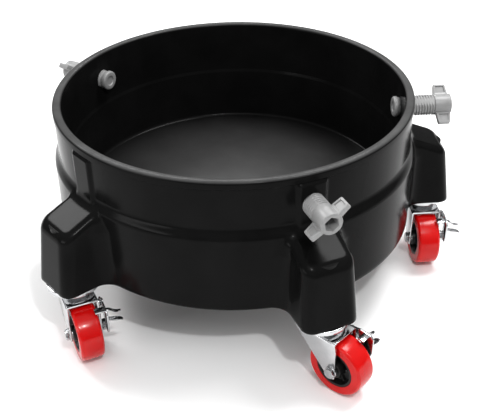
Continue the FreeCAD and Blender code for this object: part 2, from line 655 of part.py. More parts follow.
def tyre():
    """Cast tread with a gently crowned face and rounded shoulders, keyed over the core."""
    half = WHEEL_HALF_WIDTH
    shoulder = WHEEL_RADIUS - TREAD_CROWN
    outline = [(CORE_RADIUS, -half), (shoulder - TREAD_ROUND, -half)]
    outline += [round_to((shoulder - TREAD_ROUND, -half), (shoulder, -half + TREAD_ROUND), 1),
                ((WHEEL_RADIUS, 0), (shoulder, half - TREAD_ROUND)),
                round_to((shoulder, half - TREAD_ROUND), (shoulder - TREAD_ROUND, half), 1)]
    outline += [(CORE_RADIUS, half), (CORE_RADIUS, CORE_TONGUE_HALF_WIDTH),
                (CORE_TONGUE_RADIUS, CORE_TONGUE_HALF_WIDTH), (CORE_TONGUE_RADIUS, -CORE_TONGUE_HALF_WIDTH),
                (CORE_RADIUS, -CORE_TONGUE_HALF_WIDTH)]
    return revolve_stations(outline)


def wheel_core():
    """Moulded wheel centre: rim band with a key, thin web and bored hub."""
    half = WHEEL_HALF_WIDTH - 0.2
    band = CORE_RADIUS - CORE_RIM_THICKNESS
    bore = SLEEVE_RADIUS + SLEEVE_CLEARANCE
    outline = [(bore, -CORE_HUB_HALF_WIDTH), (CORE_HUB_RADIUS, -CORE_HUB_HALF_WIDTH),
               (CORE_HUB_RADIUS + 0.8, -CORE_WEB_HALF_WIDTH), (band - 1.0, -CORE_WEB_HALF_WIDTH),
               (band, -half),
               (CORE_RADIUS, -half), (CORE_RADIUS, -CORE_TONGUE_HALF_WIDTH),
               (CORE_TONGUE_RADIUS, -CORE_TONGUE_HALF_WIDTH), (CORE_TONGUE_RADIUS, CORE_TONGUE_HALF_WIDTH),
               (CORE_RADIUS, CORE_TONGUE_HALF_WIDTH), (CORE_RADIUS, half), (band, half),
               (band - 1.0, CORE_WEB_HALF_WIDTH), (CORE_HUB_RADIUS + 0.8, CORE_WEB_HALF_WIDTH),
               (CORE_HUB_RADIUS, CORE_HUB_HALF_WIDTH), (bore, CORE_HUB_HALF_WIDTH)]
    return revolve_stations(outline)


def axle_sleeve():
    """Tube clamped between the fork legs, on which the wheel turns."""
    half = FORK_HALF_WIDTH - FORK_GAUGE
    tube = drum(SLEEVE_RADIUS, -half, half, (TRAIL, AXLE_Z), "y")
    return tube.cut(drum(AXLE_RADIUS, -half - 1, half + 1, (TRAIL, AXLE_Z), "y"))


def hex_prism(low, high, centre):
    """A hexagonal prism along Y with lightly chamfered corners."""
    corner = HEX_ACROSS_FLATS / math.sqrt(3)
    corners = [FreeCAD.Vector(centre[0] + x, low, centre[1] + z) for x, z in hexagon(corner, 12)]
    prism = Part.Face(Part.makePolygon(corners + [corners[0]])).extrude(FreeCAD.Vector(0, high - low, 0))
    rounding = Part.makeCylinder(corner, high - low, FreeCAD.Vector(centre[0], low, centre[1]),
                                 FreeCAD.Vector(0, 1, 0))
    soft = rounding.makeChamfer(HEX_CHAMFER, [edge for edge in rounding.Edges if edge.Closed])
    return prism.common(soft)


def axle_bolt():
    """Hexagon bolt through both fork legs."""
    centre = (TRAIL, AXLE_Z)
    head = hex_prism(-FORK_HALF_WIDTH - BOLT_HEAD_HEIGHT, -FORK_HALF_WIDTH, centre)
    far_end = FORK_HALF_WIDTH + NUT_HEIGHT + BOLT_OVERHANG
    shank = drum(AXLE_RADIUS, -FORK_HALF_WIDTH - 0.5, far_end, centre, "y")
    return head.fuse(shank)


def axle_nut():
    """Hexagon nut on the far end of the axle bolt."""
    centre = (TRAIL, AXLE_Z)
    nut = hex_prism(FORK_HALF_WIDTH, FORK_HALF_WIDTH + NUT_HEIGHT, centre)
    return nut.cut(drum(AXLE_RADIUS, FORK_HALF_WIDTH - 1, FORK_HALF_WIDTH + NUT_HEIGHT + 1, centre, "y"))


def brake_rivet():
    """Shouldered rivet on which the brake lever rocks."""
    inner = FORK_HALF_WIDTH - FORK_GAUGE
    outer_face = BRAKE_INNER + BRAKE_GAUGE + 0.1
    pieces = [drum(RIVET_HEAD_RADIUS - 0.4, inner - 0.8, inner, BRAKE_PIVOT, "y"),
              drum(RIVET_HEAD_RADIUS, FORK_HALF_WIDTH, BRAKE_INNER - 0.1, BRAKE_PIVOT, "y"),
              drum(RIVET_HEAD_RADIUS, outer_face, outer_face + RIVET_HEAD_HEIGHT, BRAKE_PIVOT, "y")]
    return drum(RIVET_RADIUS, inner - 0.5, outer_face + 0.5, BRAKE_PIVOT, "y").fuse(pieces)


def pedal_prong(back, front, height, lift):
    """One tapering pedal prong that bows upwards and ends level; lift is its rise on the way."""
    start = BRAKE_INNER + 0.4
    middle = (start + PEDAL_TIP) / 2
    gauge = BRAKE_GAUGE
    upper = [(start, height), ((middle, height + lift), (PEDAL_TIP, height + lift / 2))]
    lower = [(PEDAL_TIP, height + lift / 2 - gauge),
             ((middle, height + lift - gauge), (start, height - gauge))]
    side = loop(upper + lower, "xz")
    side.rotate(FreeCAD.Vector(0, 0, 0), FreeCAD.Vector(0, 0, 1), 90)
    side.translate(FreeCAD.Vector(back, 0, 0))
    prong = side.extrude(FreeCAD.Vector(front - back, 0, 0))
    tips = edges_where(prong, lambda edge, p: p.y > PEDAL_TIP - 0.05
                       and abs(edge.tangentAt(edge.FirstParameter).z) > 0.9)
    return prong.makeFillet(PEDAL_TIP_ROUND, tips)


def brake_lever():
    """Pressed rocking lever: side plate, two pedal prongs outwards and a shoe bent over the tread."""
    plate = loop(LEVER_OUTLINE, "xz")
    plate.translate(FreeCAD.Vector(0, BRAKE_INNER, 0))
    lever = plate.extrude(FreeCAD.Vector(0, BRAKE_GAUGE, 0))
    shoe = block((SHOE_BACK, SHOE_TIP, SHOE_TOP - BRAKE_GAUGE), (SHOE_FRONT, BRAKE_INNER + 0.3, SHOE_TOP))
    middle = FreeCAD.Vector((SHOE_BACK + SHOE_FRONT) / 2, 0, SHOE_TOP - BRAKE_GAUGE / 2)
    shoe.rotate(middle, FreeCAD.Vector(0, 1, 0), SHOE_TILT)
    prongs = [pedal_prong(*prong) for prong in PEDAL_PRONGS]
    lever = lever.fuse([shoe] + prongs).removeSplitter()
    hole = drum(RIVET_RADIUS + RIVET_CLEARANCE, BRAKE_INNER - 5, BRAKE_INNER + 5, BRAKE_PIVOT, "y")
    return lever.cut(hole)


def caster_parts():
    """The pieces that every caster has, about its swivel axis."""
    return {"upper_race": upper_race(), "swivel_balls": swivel_balls(), "fork": fork(), "tyre": tyre(),
            "wheel_core": wheel_core(), "axle_sleeve": axle_sleeve(), "axle_bolt": axle_bolt(),
            "axle_nut": axle_nut(), "brake_rivet": brake_rivet(), "brake_lever": brake_lever()}


def all_nodes():
    """Every node's shape by name, in place."""
    nodes = {"tray_body": tray_body()}
    for name in SCREW_HEAD_ENDS:
        nodes["clamp_screw_" + name] = clamp_screw(name)
        nodes["clamp_pad_" + name] = swivel_pad(name)
    nodes["caster_stems"] = Part.makeCompound([at_caster(stem(), name) for name in LEG_NAMES])
    nodes["stem_inserts"] = Part.makeCompound([at_caster(stem_insert(), name) for name in LEG_NAMES])
    parts = caster_parts()
    for name in LEG_NAMES:
        for piece, shape in parts.items():
            nodes[piece + "_" + name] = at_caster(shape, name)
    return nodes


if __name__ == "__main__":
    os.makedirs("parts", exist_ok=True)
    for node, shape in all_nodes().items():
        shape.exportStep("parts/" + node + ".step")
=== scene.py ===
"""Looks of the wheeled bucket dolly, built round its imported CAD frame.

Outlines are in millimetres, in the CAD's own frame, and turn into metres where a mesh is made.
"""
import json
import math

import bmesh
import bpy
import numpy as np
from mathutils import Matrix, Vector


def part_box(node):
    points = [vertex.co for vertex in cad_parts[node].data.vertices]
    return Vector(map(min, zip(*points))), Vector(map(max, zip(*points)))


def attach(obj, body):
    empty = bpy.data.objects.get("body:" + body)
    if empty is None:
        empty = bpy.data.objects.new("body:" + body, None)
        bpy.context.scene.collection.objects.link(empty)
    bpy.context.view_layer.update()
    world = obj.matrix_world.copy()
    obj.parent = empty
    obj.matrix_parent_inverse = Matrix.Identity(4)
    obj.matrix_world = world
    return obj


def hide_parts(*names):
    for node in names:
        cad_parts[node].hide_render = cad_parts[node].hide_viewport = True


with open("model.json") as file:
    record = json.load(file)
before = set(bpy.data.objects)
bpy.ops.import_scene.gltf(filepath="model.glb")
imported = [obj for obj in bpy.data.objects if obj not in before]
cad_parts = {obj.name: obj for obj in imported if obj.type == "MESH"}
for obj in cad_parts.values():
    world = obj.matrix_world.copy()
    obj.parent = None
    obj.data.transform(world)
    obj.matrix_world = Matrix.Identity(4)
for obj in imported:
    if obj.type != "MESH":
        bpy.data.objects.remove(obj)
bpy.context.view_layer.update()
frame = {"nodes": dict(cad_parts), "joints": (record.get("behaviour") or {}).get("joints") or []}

MM = 0.001
JOINTS = {joint["name"]: joint for joint in frame["joints"]}
LEG_NAMES = ["right", "rear_right", "rear_left", "front_left", "front_right"]
SCREW_NAMES = ["right", "rear_left", "front_right"]
LEG_STEP = math.radians(72)
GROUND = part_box("tyre_right")[0].z

# ---- tray, in millimetres ------------------------------------------------
RIM_RADIUS = 157.8
RIM_INNER_RADIUS = 149.8
RIM_TOP = 102.0
BEAD_BOTTOM = 95.6
WALL_RADIUS = 157.0
SHOULDER_TOP = 61.0
SHOULDER_BOTTOM = 50.0
SKIRT_RADIUS = 161.3
SKIRT_THICKNESS = 3.5
SKIRT_BOTTOM = -16.0
FLOOR_EDGE_RADIUS = 146.4
FLOOR_THICKNESS = 4.0
CAVITY_TOP = 47.0
TUB_OUTSIDE = 150.0
LEG_OUTER = 200.9
LEG_HALF = 24.0
LEG_OUTER_SLOPE = 0.135
LEG_SIDE_SLOPE = 0.035
LEG_TOP_HEIGHT = 51.5
LEG_TOP_SLOPE = 0.38
LEG_CORNER_ROUND = 10.0
LEG_TOP_ROUND = 6.5
ROOT_ROUND = 12.0
ROOT_ROUND_TOP = 3.5
ROOT_FADE_START = 36.0
ROOT_FADE_HEIGHT = 16.0
PAD_FACE = 159.1
PAD_HALF = 11.6
PAD_TOP = 94.0
PAD_BOTTOM = 30.0
PAD_ROUND = 1.7
PAD_BLEND = 2.2
CASTER_RADIUS = 179.8
SCREW_HEIGHT = 76.0
BORE_RADIUS = 9.4
BORE_START = 140
BORE_END = 170
SKIRT_LIP = 0.9
RIB_HALF = 1.5
RIB_BOTTOM = -12.0
RIB_RINGS = (31.5, 93.5)
BOSS_RADIUS = 12.5
BOSS_BORE = 7.5
BOSS_TOP = 40.0
WEB_HALF = 1.3
WEB_TOP = 24.0
LEG_WALL_INSIDE = 158.0
LEG_WALL_OUTSIDE = 161.1
LEG_WALL_TOP = 47.5
LEG_WALL_HALF_ANGLE = 11.5
COLUMNS_PER_HALF_SECTOR = 64

# ---- clamp screws --------------------------------------------------------
THREAD_RADIUS = 9.3
THREAD_ROOT = 8.2
THREAD_FLAT = 8.15
THREAD_PITCH = 2.5
HEAD_RADIUS = 9.3
HEAD_LENGTH = 15.3
SCREW_LENGTH = 52.5
PAD_LENGTH = 5.5
PAD_GAP = 0.4
SWIVEL_PAD_RADIUS = 9.1
WING_TIP = 19.2
WING_TIP_LENGTH = 10.7
WING_THICKNESS = 4.6
WING_ANGLE = math.radians(37.6)
HEX_CORNER = 6.3
HEX_DEPTH = 12.0

# ---- casters -------------------------------------------------------------
TRAIL = 21.5
AXLE_Z = -55.8
WHEEL_RADIUS = 25.4
WHEEL_HALF = 10.1
CORE_RADIUS = 16.8
FORK_HALF = 14.0
AXLE_CORNER = 8.6 / math.sqrt(3)
AXLE_RADIUS = 3.0
BOLT_HEAD_HEIGHT = 3.4
FLANGE_HEIGHT = 0.8
NUT_HEIGHT = 5.0
THREAD_BEYOND_FORK = 6.6
SPOKE_HALF = 1.35
SPOKE_HEIGHT = 1.8
LEVER_OUTLINE = [(14.4, -36.0, 2.2), (14.6, -29.6, 2.6), (27.0, -27.8, 6.0), (37.4, -29.3, 2.0),
                 (40.0, -32.6, 2.0), (39.6, -46.5, 3.0), (37.4, -53.0, 2.6), (32.0, -53.0, 2.6),
                 (29.4, -46.0, 3.0), (28.4, -39.5, 2.4), (22.5, -37.3, 2.0)]
LEVER_INSIDE = 15.6
LEVER_OUTSIDE = 17.2
RIVET = (19.0, -33.0)
RIVET_HOLE = 2.06
SHOE_OUTLINE = [(30.4, -30.6), (36.0, -31.2), (36.2, -29.7), (30.4, -29.0)]
PEDAL_START = 15.9
PEDAL_TIP = 29.9
PEDAL_GAUGE = 1.5

# ---- finish --------------------------------------------------------------
SHARP_ANGLE = math.radians(32.0)
TRAY_SHARP_ANGLE = math.radians(38)


# ---- mesh helpers --------------------------------------------------------
def rounded(corners, steps=5, closed=False):
    """An outline through (a, b, radius) corners, each rounded by an arc of its radius."""
    count = len(corners)
    points = []
    for index, (a, b, radius) in enumerate(corners):
        ends = not closed and index in (0, count - 1)
        if radius <= 0 or ends:
            points.append((a, b))
            continue
        here = Vector((a, b))
        before = Vector(corners[index - 1][:2]) - here
        after = Vector(corners[(index + 1) % count][:2]) - here
        opening = before.angle(after)
        run = radius / math.tan(opening / 2)
        run = min(run, before.length * 0.49, after.length * 0.49)
        start = here + before.normalized() * run
        end = here + after.normalized() * run
        middle = (before.normalized() + after.normalized()).normalized()
        reach = run / math.cos(opening / 2)
        centre = here + middle * reach
        arm = start - centre
        turn = arm.angle_signed(end - centre)
        for step in range(steps + 1):
            angle = -turn * step / steps
            spin = Matrix.Rotation(angle, 2)
            points.append(tuple(centre + spin @ arm))
    return points


def lathe(outline, count, closed=False):
    """Turn an outline of (radius, station) points about Z: vertices and faces."""
    verts = []
    rings = []
    for radius, station in outline:
        if radius < 1e-6:
            rings.append([len(verts)])
            verts.append((0.0, 0.0, station))
            continue
        rings.append(list(range(len(verts), len(verts) + count)))
        for index in range(count):
            angle = 2 * math.pi * index / count
            verts.append((radius * math.cos(angle), radius * math.sin(angle), station))
    faces = []
    pairs = list(zip(rings, rings[1:] + rings[:1])) if closed else list(zip(rings, rings[1:]))
    for low, high in pairs:
        faces += bridge(low, high, count)
    return verts, faces


def bridge(low, high, count):
    """Faces between two rings, either of which may be one point."""
    faces = []
    for index in range(count):
        after = (index + 1) % count
        if len(low) == 1 and len(high) == 1:
            continue
        if len(low) == 1:
            faces.append((low[0], high[after], high[index]))
        elif len(high) == 1:
            faces.append((low[index], low[after], high[0]))
        else:
            faces.append((low[index], low[after], high[after], high[index]))
    return faces


def polar_grid(rings):
    """Join rings of points, each a list of points or one single point, into one closed skin."""
    verts = []
    lists = []
    count = max(len(ring) for ring in rings)
    for ring in rings:
        lists.append(list(range(len(verts), len(verts) + len(ring))))
        verts += ring
    faces = []
    for low, high in zip(lists, lists[1:]):
        faces += bridge(low, high, count)
    return verts, faces


def joined(*shells):
    """Several (vertices, faces) shells as one."""
    verts = []
    faces = []
    for shell_verts, shell_faces in shells:
        base = len(verts)
        verts += shell_verts
        faces += [tuple(base + index for index in face) for face in shell_faces]
    return verts, faces


def make(name, shell, place, material, body, nodes=()):
    """A finished piece: its mesh in metres, smooth but for its sharp edges, riding on a body."""
    verts, faces = shell
    mesh = bpy.data.meshes.new(name)
    mesh.from_pydata([tuple(MM * (place @ Vector(vert))) for vert in verts], [], faces)
    work = bmesh.new()
    work.from_mesh(mesh)
    bmesh.ops.remove_doubles(work, verts=work.verts, dist=1e-7)
    bmesh.ops.recalc_face_normals(work, faces=work.faces)
    work.to_mesh(mesh)
    work.free()
    return finish_piece(name, mesh, material, body, nodes)


def finish_piece(name, mesh, material, body, nodes):
    """Give a mesh its object, shading, material, slot and body."""
    mesh.polygons.foreach_set("use_smooth", [True] * len(mesh.polygons))
    mesh.set_sharp_from_angle(angle=SHARP_ANGLE)
    piece = bpy.data.objects.new(name, mesh)
    bpy.context.scene.collection.objects.link(piece)
    piece.data.materials.append(material)
    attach(piece, body)
    if nodes:
        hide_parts(*nodes)
    return piece


def bevelled(shell, width):
    """A shell whose sharp edges are rounded off."""
    verts, faces = shell
    work = bmesh.new()
    made = [work.verts.new(vert) for vert in verts]
    for face in faces:
        work.faces.new([made[index] for index in face])
    bmesh.ops.recalc_face_normals(work, faces=work.faces)
    bmesh.ops.bevel(work, geom=sharp_edges(work, 40), offset=width, segments=2, profile=0.5, affect="EDGES")
    return emptied(work)


def sharp_edges(work, degrees):
    """Edges whose two faces meet at more than an angle."""
    limit = math.radians(degrees)
    return [edge for edge in work.edges if edge.is_manifold and edge.calc_face_angle() > limit]


def emptied(work):
    """The vertices and faces of a working mesh, which is then freed."""
    work.verts.index_update()
    verts = [tuple(vert.co) for vert in work.verts]
    faces = [tuple(vert.index for vert in face.verts) for face in work.faces]
    work.free()
    return verts, faces


def slab(outline, low, high):
    """A plate: an outline of (x, z) points between two stations along Y."""
    count = len(outline)
    verts = [(x, low, z) for x, z in outline] + [(x, high, z) for x, z in outline]
    faces = [tuple(range(count)), tuple(reversed(range(count, 2 * count)))]
    for index in range(count):
        after = (index + 1) % count
        faces.append((index, after, count + after, count + index))
    return verts, faces


def softened(name, node, width, material, body):
    """A CAD node's own shape with its sharp edges rounded off."""
    mesh = frame["nodes"][node].data.copy()
    mesh.name = name
    mesh.materials.clear()
    work = bmesh.new()
    work.from_mesh(mesh)
    bmesh.ops.remove_doubles(work, verts=work.verts, dist=2e-6)
    bmesh.ops.dissolve_limit(work, angle_limit=math.radians(0.5), verts=work.verts, edges=work.edges)
    bmesh.ops.bevel(work, geom=sharp_edges(work, 35), offset=width * MM, segments=2, profile=0.5,
                    affect="EDGES", clamp_overlap=True)
    bmesh.ops.triangulate(work, faces=[face for face in work.faces if len(face.verts) > 4])
    work.to_mesh(mesh)
    work.free()
    return finish_piece(name, mesh, material, body, (node,))


# ---- materials -----------------------------------------------------------
def add_node(tree, kind, values=None, links=None, **settings):
    """A shader node with its socket values and links set."""
    node = tree.nodes.new(kind)
    for key, value in settings.items():
        setattr(node, key, value)
    for key, value in (values or {}).items():
        node.inputs[key].default_value = value
    for key, source in (links or {}).items():
        tree.links.new(source, node.inputs[key])
    return node


def ramp(tree, source, stops):
    """A colour ramp over a value."""
    node = add_node(tree, "ShaderNodeValToRGB", links={"Fac": source})
    elements = node.color_ramp.elements
    while len(elements) < len(stops):
        elements.new(0.5)
    for element, (position, colour) in zip(elements, stops):
        element.position = position
        element.color = (*colour, 1.0)
    return node.outputs["Color"]


def noise(tree, place, scale, detail, roughness):
    """Fractal noise over a place."""
    node = add_node(tree, "ShaderNodeTexNoise", {"Scale": scale, "Detail": detail, "Roughness": roughness},
                    {"Vector": place})
    return node.outputs["Fac"]


def grey(value):
    """An even grey."""
    return (value, value, value)


def between(tree, source, low, high, least=0.0):
    """Where a value lies from one limit to another, as least to 1."""
    node = add_node(tree, "ShaderNodeMapRange", {"From Min": low, "From Max": high, "To Min": least},
                    {"Value": source})
    return node.outputs["Result"]


def product(tree, first, second):
    """Two values multiplied."""
    node = add_node(tree, "ShaderNodeMath", operation="MULTIPLY", links={0: first, 1: second})
    return node.outputs["Value"]


def towards(tree, colour, tone, amount):
    """A colour blended towards an even tone by an amount."""
    blend = add_node(tree, "ShaderNodeMix", data_type="RGBA")
    tree.links.new(amount, blend.inputs["Factor"])
    tree.links.new(colour, blend.inputs["A"])
    blend.inputs["B"].default_value = (*tone, 1.0)
    return blend.outputs["Result"]


def painted_floor_sheen(tree, place, mottle, colour, wear_and_sheen):
    """Blend towards a lighter tone in the middle of the tray's floor, mottled: a painted sheen of the
    overhead light.
    """
    parts = add_node(tree, "ShaderNodeSeparateXYZ", links={"Vector": place}).outputs
    flat = add_node(tree, "ShaderNodeCombineXYZ", links={"X": parts["X"], "Y": parts["Y"]})
    reach = add_node(tree, "ShaderNodeVectorMath", operation="LENGTH", links={0: flat.outputs["Vector"]})
    middle = between(tree, reach.outputs["Value"], 0.145, 0.02)
    low = between(tree, parts["Z"], 0.004, 0.001)
    above = between(tree, parts["Z"], -0.002, -0.001)
    share = product(tree, product(tree, low, above), middle)
    amount = product(tree, share, between(tree, mottle, 0.3, 0.7, 0.8))
    return towards(tree, colour, wear_and_sheen, amount)


def painted_rim_highlight(tree, place, mottle, colour, wear_and_sheen):
    """Blend towards a lighter tone on the crown of the rim bead, mottled: a painted highlight."""
    height = add_node(tree, "ShaderNodeSeparateXYZ", links={"Vector": place}).outputs["Z"]
    crown = between(tree, height, 0.1006, 0.1018)
    return towards(tree, colour, wear_and_sheen, product(tree, crown, between(tree, mottle, 0.3, 0.7, 0.55)))


def surface(name, tones, roughness, grain, bump, metallic=0.0, specular=0.5, coat=0.0, coat_roughness=0.05,
            scratches=0.0, edge=None, floor_painted_sheen=None, rim_painted_highlight=None):
    """A procedural surface.

    tones are the darkest and lightest colour, roughness its lowest and highest value, grain the sizes in
    millimetres of the colour mottling and of the fine relief, and bump the relief's height in millimetres.
    edge is the tone of worn corners; the last two are the tones of a painted sheen on the tray's floor and of
    a painted highlight on its rim's crown.
    """
    material = bpy.data.materials.new(name)
    material.use_nodes = True
    tree = material.node_tree
    shader = tree.nodes["Principled BSDF"]
    place = add_node(tree, "ShaderNodeTexCoord").outputs["Object"]
    mottle = noise(tree, place, 1 / (grain[0] * MM), 6.0, 0.6)
    fine = noise(tree, place, 1 / (grain[1] * MM), 3.0, 0.5)
    colour = ramp(tree, mottle, [(0.3, tones[0]), (0.72, tones[1])])
    if edge is not None:
        corner = add_node(tree, "ShaderNodeNewGeometry").outputs["Pointiness"]
        wear_and_sheen = ramp(tree, corner, [(0.52, grey(0.0)), (0.62, grey(1.0))])
        colour = towards(tree, colour, edge, wear_and_sheen)
    # Painted sheen on the tray's floor and painted highlight on its rim crown, laid into the colour.
    if floor_painted_sheen is not None:
        colour = painted_floor_sheen(tree, place, mottle, colour, floor_painted_sheen)
    if rim_painted_highlight is not None:
        colour = painted_rim_highlight(tree, place, mottle, colour, rim_painted_highlight)
    tree.links.new(colour, shader.inputs["Base Color"])
    gloss = ramp(tree, mottle, [(0.25, grey(roughness[0])), (0.8, grey(roughness[1]))])
    if scratches > 0:
        stretched = add_node(tree, "ShaderNodeMapping",
                             {"Scale": (90.0, 1400.0, 500.0), "Rotation": (0.3, 0.5, 0.9)}, {"Vector": place})
        lines = noise(tree, stretched.outputs["Vector"], 1.0, 2.0, 0.5)
        streaks = ramp(tree, lines, [(0.55, grey(0.0)), (0.75, grey(scratches))])
        total = add_node(tree, "ShaderNodeMix", data_type="RGBA", blend_type="ADD")
        total.inputs["Factor"].default_value = 1.0
        tree.links.new(gloss, total.inputs["A"])
        tree.links.new(streaks, total.inputs["B"])
        gloss = total.outputs["Result"]
    tree.links.new(gloss, shader.inputs["Roughness"])
    relief = add_node(tree, "ShaderNodeBump", {"Strength": 1.0, "Distance": bump * MM}, {"Height": fine})
    tree.links.new(relief.outputs["Normal"], shader.inputs["Normal"])
    shader.inputs["Metallic"].default_value = metallic
    shader.inputs["Specular IOR Level"].default_value = specular
    shader.inputs["Coat Weight"].default_value = coat
    shader.inputs["Coat Roughness"].default_value = coat_roughness
    return material


# The tray's floor tone is a painted sheen and its rim tone a painted highlight, both laid into the colour.
TRAY_PLASTIC = surface("moulded_black_plastic", (grey(0.0034), grey(0.0056)), (0.15, 0.22), (38.0, 1.1),
                       0.010, specular=0.036, scratches=0.04, edge=grey(0.012), floor_painted_sheen=grey(0.056),
                       rim_painted_highlight=grey(0.065))
SCREW_PLASTIC = surface("moulded_grey_plastic", (grey(0.20), grey(0.245)), (0.30, 0.44), (9.0, 0.5), 0.02,
                        specular=0.4, edge=grey(0.30))
CHROME = surface("plated_pressed_steel", ((0.50, 0.505, 0.515), (0.60, 0.605, 0.615)), (0.10, 0.20),
                 (12.0, 2.2), 0.012, metallic=1.0, scratches=0.10)
ZINC = surface("zinc_plated_steel", ((0.36, 0.365, 0.375), (0.50, 0.505, 0.51)), (0.16, 0.34), (4.0, 0.7),
               0.010, metallic=1.0, scratches=0.12)
BALL_STEEL = surface("ground_ball_steel", (grey(0.50), grey(0.62)), (0.12, 0.3), (3.0, 0.5), 0.004,
                     metallic=1.0)
RED_TYRE = surface("cast_red_polyurethane", ((0.47, 0.0018, 0.0018), (0.56, 0.003, 0.0026)), (0.15, 0.26),
                   (14.0, 0.9), 0.012, specular=0.22, coat=0.06, coat_roughness=0.10)
CORE_PLASTIC = surface("moulded_black_core", (grey(0.0035), grey(0.007)), (0.30, 0.45), (10.0, 0.6), 0.02,
                       specular=0.22)


# ---- tray body -----------------------------------------------------------
def shell_radius(height):
    """Outside radius of the turned tray at each height, legs and pads left out."""
    part = np.clip((height - SHOULDER_BOTTOM) / (SHOULDER_TOP - SHOULDER_BOTTOM), 0, 1)
    ease = part * part * (3 - 2 * part)
    radius = SKIRT_RADIUS + (WALL_RADIUS - SKIRT_RADIUS) * ease
    bead = np.clip((height - BEAD_BOTTOM + 0.8) / 0.8, 0, 1)
    return radius + (RIM_RADIUS - WALL_RADIUS) * bead


def round_intersection(distances, radius):
    """Signed distance inside several faces at once, their edges rounded."""
    shifted = np.broadcast_arrays(*[distance + radius for distance in distances])
    highest = np.maximum.reduce(shifted)
    outside = np.sqrt(sum(np.maximum(distance, 0) ** 2 for distance in shifted))
    return np.minimum(highest, 0) + outside - radius


def fillet_union(first, second, radius):
    """Signed distance to two forms joined by a hollow fillet."""
    a = np.maximum(radius - first, 0)
    b = np.maximum(radius - second, 0)
    return np.maximum(radius, np.minimum(first, second)) - np.sqrt(a * a + b * b)


def tray_distance(radius, angle, height):
    """Signed distance to the tray's outside, the angle counted from the nearest leg."""
    x = radius * np.cos(angle)
    y = np.abs(radius * np.sin(angle))
    up = height - SKIRT_BOTTOM
    shell = radius - shell_radius(height)
    outer = (x - LEG_OUTER + LEG_OUTER_SLOPE * up) / math.hypot(1, LEG_OUTER_SLOPE)
    side = (y - LEG_HALF + LEG_SIDE_SLOPE * up) / math.hypot(1, LEG_SIDE_SLOPE)
    top = (height - LEG_TOP_HEIGHT + LEG_TOP_SLOPE * (x - SKIRT_RADIUS)) / math.hypot(1, LEG_TOP_SLOPE)
    upright = round_intersection([outer, side], LEG_CORNER_ROUND)
    leg = round_intersection([upright, top], LEG_TOP_ROUND)
    fade = np.clip((height - ROOT_FADE_START) / ROOT_FADE_HEIGHT, 0, 1)
    both = fillet_union(shell, leg, ROOT_ROUND + (ROOT_ROUND_TOP - ROOT_ROUND) * fade)
    pad = round_intersection([x - PAD_FACE, y - PAD_HALF, height - PAD_TOP, PAD_BOTTOM - height], PAD_ROUND)
    return fillet_union(both, pad, PAD_BLEND)


def tray_row(height, inset):
    """One ring of points round the tray, evenly spaced along its outline, inset from the outside.

    The outside is found along a fan of angles that is closest where the pad and the leg end.
    """
    fan = np.radians(np.concatenate([np.linspace(0, 3.5, 50), np.linspace(3.5, 13.5, 700)[1:],
                                     np.linspace(13.5, 36, 130)[1:]]))
    low = np.full_like(fan, TUB_OUTSIDE)
    high = np.full_like(fan, LEG_OUTER + 4.0)
    for _ in range(36):
        middle = (low + high) / 2
        outside = tray_distance(middle, fan, height) > -inset
        high = np.where(outside, middle, high)
        low = np.where(outside, low, middle)
    radius = (low + high) / 2
    x = radius * np.cos(fan)
    y = radius * np.sin(fan)
    run = np.concatenate([[0], np.cumsum(np.hypot(np.diff(x), np.diff(y)))])
    even = np.linspace(0, run[-1], COLUMNS_PER_HALF_SECTOR + 1)
    radius = np.interp(even, run, radius)
    angle = np.interp(even, run, fan)
    points = []
    for leg in range(5):
        columns = range(COLUMNS_PER_HALF_SECTOR)
        for sign, order in ((-1, [column + 1 for column in reversed(columns)]), (1, columns)):
            for index in order:
                turn = leg * LEG_STEP + sign * angle[index]
                points.append((radius[index] * math.cos(turn), radius[index] * math.sin(turn), height))
    return points


def even_ring(radius, height):
    """A plain round ring whose columns meet those of the tray's rows."""
    count = 10 * COLUMNS_PER_HALF_SECTOR
    points = []
    for index in range(count):
        turn = 2 * math.pi * index / count - LEG_STEP / 2
        points.append((radius * math.cos(turn), radius * math.sin(turn), height))
    return points


def tray_rings():
    """Every ring of the tray's closed skin, from the middle of the floor, over the rim and back below."""
    inside = rounded([(0, 0, 0), (40, 0, 0), (90, 0, 0), (FLOOR_EDGE_RADIUS, 0, 3.5), (147.6, 50, 1.0),
                      (148.6, 53, 1.0), (149.4, 80, 0), (RIM_INNER_RADIUS, RIM_TOP, 2.6),
                      (RIM_RADIUS, RIM_TOP, 2.6), (RIM_RADIUS, BEAD_BOTTOM + 0.6, 0)], steps=6)
    rings = [[(0.0, 0.0, 0.0)]]
    rings += [even_ring(radius, height) for radius, height in inside[1:]]
    heights = np.concatenate([[95.6, 95.3, 95.0, 94.8], np.linspace(94.2, 88.5, 14), np.linspace(86, 64, 6),
                              np.linspace(62, 53, 13), np.linspace(52.4, 30, 50), np.linspace(27, -12.6, 9)])
    rings += [tray_row(height, 0.0) for height in heights]
    quarter = [math.pi / 2 * step / 4 for step in range(5)]
    for angle in quarter[1:]:
        rings.append(tray_row(SKIRT_BOTTOM + SKIRT_LIP * (1 - math.sin(angle)),
                              SKIRT_LIP * (1 - math.cos(angle))))
    for angle in reversed(quarter[:-1]):
        rings.append(tray_row(SKIRT_BOTTOM + SKIRT_LIP * (1 - math.sin(angle)),
                              SKIRT_THICKNESS - SKIRT_LIP * (1 - math.cos(angle))))
    hollow_heights = np.concatenate([np.linspace(-6, 28, 6), np.linspace(30, CAVITY_TOP, 24)])
    rings += [tray_row(height, SKIRT_THICKNESS) for height in hollow_heights]
    below = rounded([(TUB_OUTSIDE + 3, CAVITY_TOP, 0), (TUB_OUTSIDE + 1.2, CAVITY_TOP, 0.6),
                     (TUB_OUTSIDE, -FLOOR_THICKNESS, 2.0), (90, -FLOOR_THICKNESS, 0),
                     (40, -FLOOR_THICKNESS, 0), (0, -FLOOR_THICKNESS, 0)], steps=4)
    rings += [even_ring(radius, height) for radius, height in below[:-1]]
    rings.append([(0.0, 0.0, -FLOOR_THICKNESS)])
    return rings


